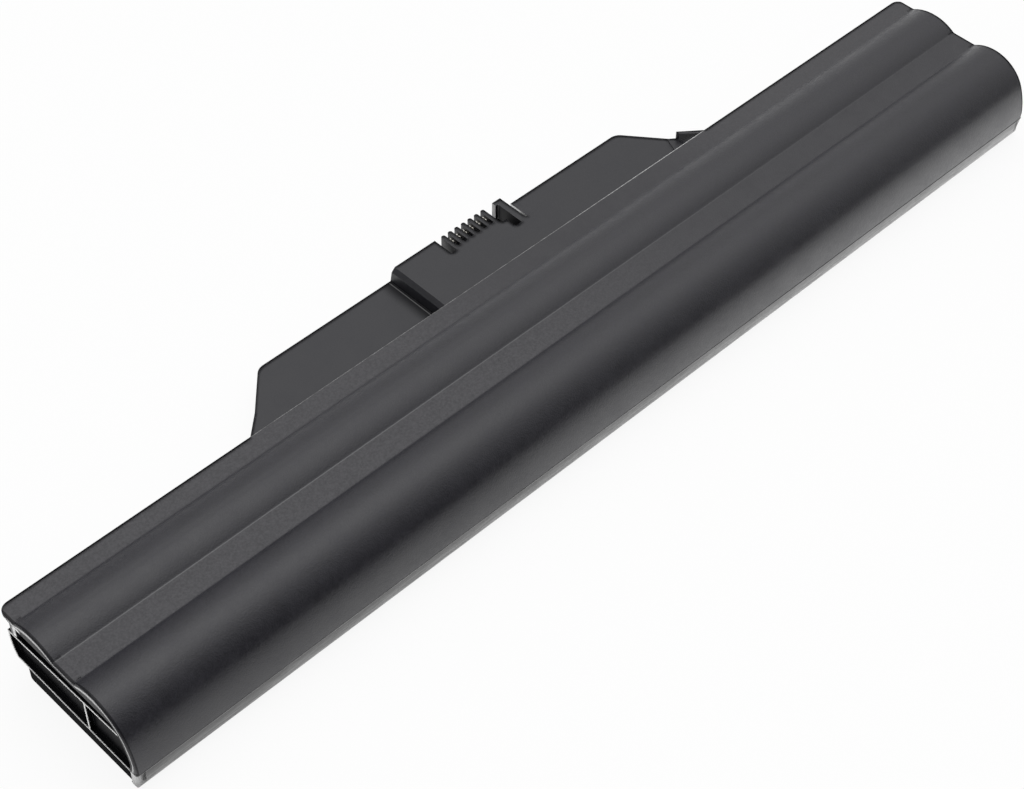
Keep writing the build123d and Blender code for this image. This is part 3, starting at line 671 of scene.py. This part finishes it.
# Each look has two colours, a roughness and a grain size; some add a stretch, a share of metal and a depth.
inner_looks = {
    "contact_metal": ((0.9, 0.86, 0.76), (1.0, 0.98, 0.93), 0.5, 0.2 * mm, (1, 0.2, 1), 0.35),
    "strip_nickel": ((0.5, 0.49, 0.46), (0.75, 0.73, 0.7), 0.3, 0.3 * mm, (0.05, 1, 1), 1.0),
    "board_laminate": ((0.01, 0.06, 0.02), (0.03, 0.13, 0.05), 0.35, 0.6 * mm, (1, 0.2, 1)),
    "chip_resin": ((0.012, 0.012, 0.013), (0.03, 0.03, 0.032), 0.6, 0.15 * mm),
    "fuse_ceramic": ((0.55, 0.53, 0.48), (0.75, 0.72, 0.66), 0.5, 0.3 * mm),
    "capacitor_ceramic": ((0.3, 0.2, 0.11), (0.46, 0.33, 0.2), 0.4, 0.2 * mm),
    "cell_sleeve": ((0.02, 0.1, 0.17), (0.04, 0.17, 0.27), 0.25, 6.0 * mm, (0.3, 1, 1), 0.0, 0.05 * mm),
    "insulating_paper": ((0.5, 0.47, 0.38), (0.72, 0.69, 0.6), 0.85, 0.25 * mm, (1, 0.3, 1)),
}
finish_of_slot = {
    "cover_plastic": cover_black,
    "housing_plastic": housing_black,
    "tongue_plastic": tongue_black,
    "connector_plastic": connector_black,
}
for slot, look in inner_looks.items():
    finish_of_slot[slot] = inner_finish(slot, *look)
for part in frame["record"]["subparts"]:
    node_materials = nodes[part["node"]].data.materials
    node_materials.clear()
    node_materials.append(finish_of_slot[part["material_slot"]])

# %% [markdown]
# # The cover's section
#
# The cover is one thin skin bent over both rows of cells, so its shape is a section carried along the pack.
# The section is walked from the seam at the front, up the front wall, over the front hump, across the
# valley, over the back hump, along the strip, round the edge of the flange and down the back wall.

# %% Walk round the section
section_step = 0.22 * mm


def arc_points(centre, radius, start, end):
    """Points on a circle: the centre plus the radius times the cosine and sine of evenly spaced turns."""
    count = max(2, int(abs(end - start) * radius / section_step))
    turns = np.linspace(start, end, count)
    return np.stack([centre[0] + radius * np.cos(turns), centre[1] + radius * np.sin(turns)], axis=1)


def circle_through(first, middle, last):
    """Centre and radius of the circle through three points, where two of its chords' bisectors cross."""
    points = np.array([first, middle, last])
    chords = 2 * (points[1:] - points[0])
    squares = (points**2).sum(axis=1)
    centre = np.linalg.solve(chords, squares[1:] - squares[0])
    return centre, np.hypot(*(points[0] - centre))


def turn_of(point, centre):
    """The direction of a point from a centre, as an angle."""
    return math.atan2(point[1] - centre[1], point[0] - centre[0])


hump_centre = np.array([front_row_y, cell_height])
front_break = hump_centre + case_radius * np.array([math.cos(front_break_turn), math.sin(front_break_turn)])
front_foot = np.array([front_y, front_parting])
valley_turn = math.asin((valley_level - cell_height) / case_radius)

break_heading = np.array([-math.sin(front_break_turn), math.cos(front_break_turn)])
to_foot = front_foot - front_break
swerve = break_heading[0] * to_foot[1] - break_heading[1] * to_foot[0]
front_radius = to_foot @ to_foot / (2 * swerve)
front_centre = front_break + front_radius * np.array([-break_heading[1], break_heading[0]])

crease = np.array([crease_y, strip_level])
valley_back = np.array([valley_back_y, valley_level])
back_centre, back_radius = circle_through(crease, (back_row_y, back_hump_level), valley_back)

walked = np.concatenate([
    arc_points(front_centre, front_radius, turn_of(front_foot, front_centre), front_break_turn),
    arc_points(hump_centre, case_radius, front_break_turn, valley_turn)[1:],
    arc_points(back_centre, back_radius, turn_of(valley_back, back_centre), turn_of(crease, back_centre)),
    [
        (flange_back, strip_level),
        (flange_back, strip_level - flange_thickness),
        (back_wall_y, strip_level - flange_thickness),
        (back_wall_y, back_parting),
    ],
])
print("points on the walked line:", len(walked))

# %% [markdown]
# # Soft corners
#
# Real mouldings have no sharp corners, so the walked line is averaged over a short run, which rounds each
# corner by about that run and leaves the long curves as they are. Its top is kept a hair below the
# solid's. At every point the outward direction stands square to the line.

# %% Section of the cover
corner_run = 0.3 * mm
top_clearance = 0.02 * mm


def even_steps(points, step):
    """The same line with points at equal distances along it."""
    runs = np.hypot(*np.diff(points, axis=0).T)
    distance = np.concatenate([[0], np.cumsum(runs)])
    places = np.linspace(0, distance[-1], int(distance[-1] / step))
    return np.stack([np.interp(places, distance, points[:, axis]) for axis in (0, 1)], axis=1)


def average_along(points, run, step):
    """Each point becomes the mean of its neighbours within the run; the two ends stay in place."""
    reach = max(1, round(run / step))
    places = np.clip(np.arange(len(points))[:, None] + np.arange(-reach, reach + 1), 0, len(points) - 1)
    means = points[places].mean(axis=1)
    keep = np.minimum(np.arange(len(points)), np.arange(len(points))[::-1])
    weight = np.clip(keep / reach, 0, 1)[:, None]
    return weight * means + (1 - weight) * points


sharp = even_steps(walked, section_step)
section = average_along(sharp, corner_run, section_step)
section[:, 1] = np.minimum(section[:, 1], back_hump_level - top_clearance)
runs = np.gradient(section, axis=0)
heading = runs / np.hypot(*runs.T)[:, None]
outward = np.stack([-heading[:, 1], heading[:, 0]], axis=1)
print("points in the section:", len(section))

# %% [markdown]
# # The cover as one closed skin
#
# The section is carried along the pack at a row of stations. Near each end the stations stand close
# together, and there the outer line draws in along its own normal by the drop of a small circle, which
# rounds the rim. In plan the flange and the back wall turn their corners with larger circles in the same
# way. The inner line is the section moved in by the wall, or by the thicker rim at the ends, where it
# stops short of the back corner and leaves that corner solid.

# %% Lines of the skin
wall = 0.8 * mm
rim = 1.3 * mm
rim_round = 0.45 * mm
flange_corner = 2.3 * mm
cover_corner = 2.9 * mm
foot_corner = 0.9 * mm
foot_corner_top = 9.0 * mm
foot_corner_power = 1.5
recess_y = back_row_y + 5.9 * mm
end_steps = np.array([0, 0.03, 0.1, 0.2, 0.32, 0.45, 0.7, 1.0, 1.3, 1.6, 2.1, 2.5, 3.0, 3.5]) * mm
rim_depth = cover_half - bay_half
step_reach = 0.3 * mm
middle_spans = 26


def drop(distance, radius):
    """How far a round of this radius has drawn in: the radius less the height of its circle there."""
    over = np.clip(radius - distance, 0, radius)
    return radius - np.sqrt(radius**2 - over**2)


station_x = np.concatenate([
    -cover_half + end_steps,
    np.linspace(-cover_half + end_steps[-1], cover_half - end_steps[-1], middle_spans)[1:-1],
    cover_half - end_steps[::-1],
])
from_end = cover_half - np.abs(station_x)
is_rim = from_end < rim_depth
beside_step = np.abs(from_end - rim_depth) < step_reach
inner_x = np.where(beside_step, np.sign(station_x) * bay_half, station_x)

edge_index = int(np.argmax(section[:, 0]))
before_edge = np.arange(len(section)) <= edge_index
along_strip = np.clip((section[:, 0] - crease[0]) / (flange_back - crease[0]), 0, 1)
along_flange = np.clip((section[:, 0] - back_wall_y) / (flange_back - back_wall_y), 0, 1)
flange_share = np.where(before_edge, along_strip, along_flange)
wall_share = np.where(before_edge, 0, 1 - along_flange)
near_front = np.clip((foot_corner_top - section[:, 1]) / (foot_corner_top - front_parting), 0, 1)
foot_share = np.where(section[:, 0] < front_row_y, near_front**foot_corner_power, 0)

distance = from_end[:, None]
at_front_foot = drop(distance, foot_corner * foot_share)
outer = section[None] - outward[None] * drop(distance, rim_round)[..., None]
outer_y = (
    outer[..., 0]
    - flange_share * drop(distance, flange_corner)
    - wall_share * drop(distance, cover_corner)
    + at_front_foot
)

thickness = np.where(is_rim, rim, wall)[:, None, None]
back_limit = np.where(is_rim, recess_y, back_wall_y - wall)[:, None]
inner = section[None] - outward[None] * thickness
inner_y = np.minimum(inner[..., 0], back_limit) + at_front_foot
inner_z = np.minimum(inner[..., 1], strip_level - thickness[..., 0])
inner_z[:, 0] = front_parting
inner_z[:, -1] = back_parting


def sheet_points(x, y, z):
    """Rows of points, one row for each station, from its place along the pack and its two section lines."""
    return np.stack([np.broadcast_to(x[:, None], y.shape), y, z], axis=2)


outer_points = sheet_points(station_x, outer_y, outer[..., 1])
inner_points = sheet_points(inner_x, inner_y, inner_z)
loop_points = np.concatenate([outer_points, inner_points[:, ::-1]], axis=1)
print("stations and points round each:", loop_points.shape[:2])

# %% [markdown]
# # From loops to a closed mesh
#
# One loop of points stands at each station: along the outer line, and back along the inner one. Quads join
# every loop to the next, and a strip of quads closes each end. The point attribute "outside" is one on the
# outer line and nought on the inner one. The skin takes the place of the solid cover.

# %% Skin of the cover
weld_distance = 0.002 * mm
sharp_angle = math.radians(38)


def closed_skin(name, rows):
    """A closed mesh from loops of points: quads join each loop to the next, and strips close both ends."""
    stations, around = rows.shape[:2]
    index = np.arange(stations * around).reshape(stations, around)
    turned = np.roll(index, -1, axis=1)
    sides = np.stack([index[:-1], turned[:-1], turned[1:], index[1:]], axis=-1).reshape(-1, 4)
    half = around // 2
    caps = [
        np.stack([ring[: half - 1], ring[1:half], ring[::-1][1:half], ring[::-1][: half - 1]], axis=1)
        for ring in (index[0, ::-1], index[-1])
    ]
    mesh = bpy.data.meshes.new(name)
    mesh.from_pydata(rows.reshape(-1, 3).tolist(), [], np.concatenate([sides, *caps]).tolist())
    outside = mesh.attributes.new("outside", "FLOAT", "POINT")
    outside.data.foreach_set("value", np.tile(np.arange(around) < half, stations).astype(float))
    tidy = bmesh.new()
    tidy.from_mesh(mesh)
    bmesh.ops.remove_doubles(tidy, verts=tidy.verts, dist=weld_distance)
    bmesh.ops.recalc_face_normals(tidy, faces=tidy.faces)
    open_edges = sum(len(edge.link_faces) != 2 for edge in tidy.edges)
    tidy.to_mesh(mesh)
    tidy.free()
    mesh.shade_smooth()
    mesh.set_sharp_from_angle(angle=sharp_angle)
    piece = bpy.data.objects.new(name, mesh)
    bpy.context.scene.collection.objects.link(piece)
    print(name, "faces:", len(mesh.polygons), "open edges:", open_edges)
    return piece


cover_skin = closed_skin("cover_skin", loop_points)
cover_skin.data.materials.append(cover_black)
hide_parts("top_cover")
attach(cover_skin, "root")

# %% [markdown]
# # The two top corners of the lip
#
# The lip below the seam is nearly square in plan where it meets the cover, and rounder towards the table.
# At each height the corner is an arc that touches the lip's front and its end. A small filling, one for
# each end, takes the rounder corner of the solid out to that shape. It is made as a stack of closed
# outlines, from a level near the table up to the gap of the seam.

# %% Corners of the lip
solid_corner = 2.0 * mm
top_corner = 0.45 * mm
corner_power = 0.7
lip_lean = math.tan(math.radians(5))
lowest_level = 1.7 * mm
seam_gap = 0.1 * mm
filling_depth = 0.3 * mm
levels = np.linspace(lowest_level, front_parting - seam_gap, 10)
rise = (levels - levels[0]) / (levels[-1] - levels[0])
corner = (solid_corner + (top_corner - solid_corner) * rise**corner_power)[:, None]
lip_front = (front_y + (front_parting - levels) * lip_lean)[:, None]
quarter = np.linspace(-math.pi / 2, 0, 11)[None]
arc_x = cover_half - corner + corner * np.cos(quarter)
arc_y = lip_front + corner + corner * np.sin(quarter)
first_x = np.full_like(corner, cover_half - solid_corner)
last_y = np.full_like(corner, lip_end_back)
filling_x = np.concatenate([first_x, arc_x, np.full_like(corner, cover_half)], axis=1)
filling_y = np.concatenate([lip_front, arc_y, last_y], axis=1)
inside = np.linspace(-math.pi / 2, 0, filling_x.shape[1])[None]
inside_radius = solid_corner - filling_depth
inside_x = np.broadcast_to(cover_half - solid_corner + inside_radius * np.cos(inside), filling_x.shape)
inside_y = np.maximum(lip_end_back + inside_radius * np.sin(inside), lip_front + seam_gap)
around_x = np.concatenate([filling_x, inside_x[:, ::-1]], axis=1)
around_y = np.concatenate([filling_y, inside_y[:, ::-1]], axis=1)
around_z = np.broadcast_to(levels[:, None], around_x.shape)
for side, name in ((1, "lip_corner_right"), (-1, "lip_corner_left")):
    filling = closed_skin(name, np.stack([side * around_x, around_y, around_z], axis=2))
    filling.data.materials.append(housing_black)
    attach(filling, "root")

# %% [markdown]
# # The floor
#
# The battery lies on a pale floor. Nine tenths of what the camera sees of it is even white, and the last
# tenth is matt and takes the soft shadow. In reflections the floor is a bright sheet without a shadow: it is
# brighter on the right, in a band before the front wall and most of all past the left end, and it fades
# towards the front. From below the floor can't be seen, so that the underside can be looked at.

# %% Floor
floor_half = 6.0
floor_level = -0.02 * mm
even_share = 0.9


def sheet_brightness(tree, place):
    """How bright the floor is in reflections, from its place."""
    x, y, _ = axis_values(tree, place)
    across = blend(tree, step_up(tree, x, -160 * mm, 200 * mm), 1.18, 2.16)
    to_front = opposite(tree, step_up(tree, y, -120 * mm, -30 * mm))
    before_wall = within(tree, y, -68 * mm, -44 * mm, 10 * mm)
    past_left = opposite(tree, step_up(tree, x, -140 * mm, -133 * mm))
    sheet = all_of(tree, blend(tree, to_front, across, 0.03), blend(tree, before_wall, 0.95, 1.5))
    return blend(tree, past_left, sheet, 3.0)


def floor_material():
    """White with a soft shadow to the camera, a bright sheet to reflections, and clear from below."""
    material, tree, place = new_material("floor_white")
    matt = add_node(tree, "ShaderNodeBsdfDiffuse", Color=(0.85, 0.85, 0.85))
    white = add_node(tree, "ShaderNodeEmission")
    sheet = add_node(tree, "ShaderNodeEmission", Strength=sheet_brightness(tree, place))
    clear = add_node(tree, "ShaderNodeBsdfTransparent")
    ray = add_node(tree, "ShaderNodeLightPath").outputs
    from_below = add_node(tree, "ShaderNodeNewGeometry").outputs["Backfacing"]
    seen = mix_shaders(tree, all_of(tree, ray["Is Camera Ray"], even_share), matt, white)
    seen_or_mirrored = mix_shaders(tree, ray["Is Glossy Ray"], seen, sheet)
    surface = mix_shaders(tree, from_below, seen_or_mirrored, clear)
    add_node(tree, "ShaderNodeOutputMaterial", Surface=surface.outputs[0])
    return material


floor_corners = [(x, y, floor_level) for x, y in (
    (-floor_half, -floor_half), (floor_half, -floor_half), (floor_half, floor_half), (-floor_half, floor_half)
)]
floor_mesh = bpy.data.meshes.new("floor")
floor_mesh.from_pydata(floor_corners, [], [(0, 1, 2, 3)])
floor_mesh.materials.append(floor_material())
floor = bpy.data.objects.new("floor", floor_mesh)
bpy.context.scene.collection.objects.link(floor)
print("floor width in metres:", 2 * floor_half)

# %% [markdown]
# # Soft lamps all round
#
# The room is built from a few wide soft lamps painted on the sky. Each lamp is brightest along its own
# direction. Its glow is the exponential of a narrowness times the cosine between that direction and the
# ray, less one, so there are no edges to be mirrored in the plastic. The largest lamp hangs overhead and a
# little behind. The camera sees plain white behind everything.

# %% Room light
# Each lamp has a strength, a narrowness, a height above the horizon and a turn from the X axis in degrees.
lamps = {
    "overhead": (2.8, 6.0, 75, 60),
    "back right, low": (1.3, 14.0, 4, 46),
    "over the front": (0.36, 6.0, 68, -25),
    "front right": (0.74, 11.0, 22, -29),
    "front right, low": (0.56, 12.0, 8, -20),
    "back left": (0.4, 4.0, 30, 165),
}
room_level = 0.01
pure_white = (1.0, 1.0, 1.0)


def direction(elevation, azimuth):
    """The unit vector at a height above the horizon and a turn from the X axis, both in degrees."""
    rise, turn = math.radians(elevation), math.radians(azimuth)
    return (math.cos(rise) * math.cos(turn), math.cos(rise) * math.sin(turn), math.sin(rise))


def room_brightness(tree):
    """The brightness of the room in each direction: an even level and the glow of every lamp."""
    ray_direction = add_node(tree, "ShaderNodeTexCoord").outputs["Generated"]
    total = room_level
    for strength, narrowness, elevation, azimuth in lamps.values():
        cosine = vector_maths(tree, "DOT_PRODUCT", "Value", ray_direction, direction(elevation, azimuth))
        nearness = maths(tree, "MULTIPLY", maths(tree, "SUBTRACT", cosine, 1.0), narrowness)
        glow = maths(tree, "MULTIPLY", maths(tree, "EXPONENT", nearness), strength)
        total = maths(tree, "ADD", glow, total)
    return total


world = bpy.data.worlds.new("studio")
bpy.context.scene.world = world
world.use_nodes = True
sky = world.node_tree
sky.nodes.clear()
room = add_node(sky, "ShaderNodeBackground", Color=pure_white, Strength=room_brightness(sky))
backdrop = add_node(sky, "ShaderNodeBackground", Color=pure_white)
sky_ray = add_node(sky, "ShaderNodeLightPath").outputs["Is Camera Ray"]
add_node(sky, "ShaderNodeOutputWorld", Surface=mix_shaders(sky, sky_ray, room, backdrop).outputs[0])
print("soft lamps:", len(lamps))

# %% [markdown]
# # The camera
#
# The camera stands where the photographer stood: high on the left and far away, with a long lens. Its place
# and its turn were worked out from corners of the battery that can be recognised in the photograph.

# %% Camera
camera_place = (-0.24156, -0.23743, 0.35817)
camera_forward = Vector((0.4714, 0.4763, -0.7423)).normalized()
nearly_right = Vector((0.7171, -0.6969, 0.0082))
camera_right = (nearly_right - camera_forward * nearly_right.dot(camera_forward)).normalized()
camera_up = camera_right.cross(camera_forward)
focal_pixels = 2224.7
image_width = 1024
sensor_width = 36.0
camera_data = bpy.data.cameras.new("camera")
camera_data.sensor_width = sensor_width
camera_data.lens = focal_pixels / image_width * sensor_width
camera_data.clip_start = 10 * mm
camera = bpy.data.objects.new("camera", camera_data)
camera_turn = Matrix((camera_right, camera_up, -camera_forward)).transposed()
camera.matrix_world = Matrix.Translation(camera_place) @ camera_turn.to_4x4()
bpy.context.scene.collection.objects.link(camera)
bpy.context.scene.camera = camera
bpy.context.scene.view_settings.view_transform = "Standard"
print("lens in mm:", round(camera_data.lens, 1))
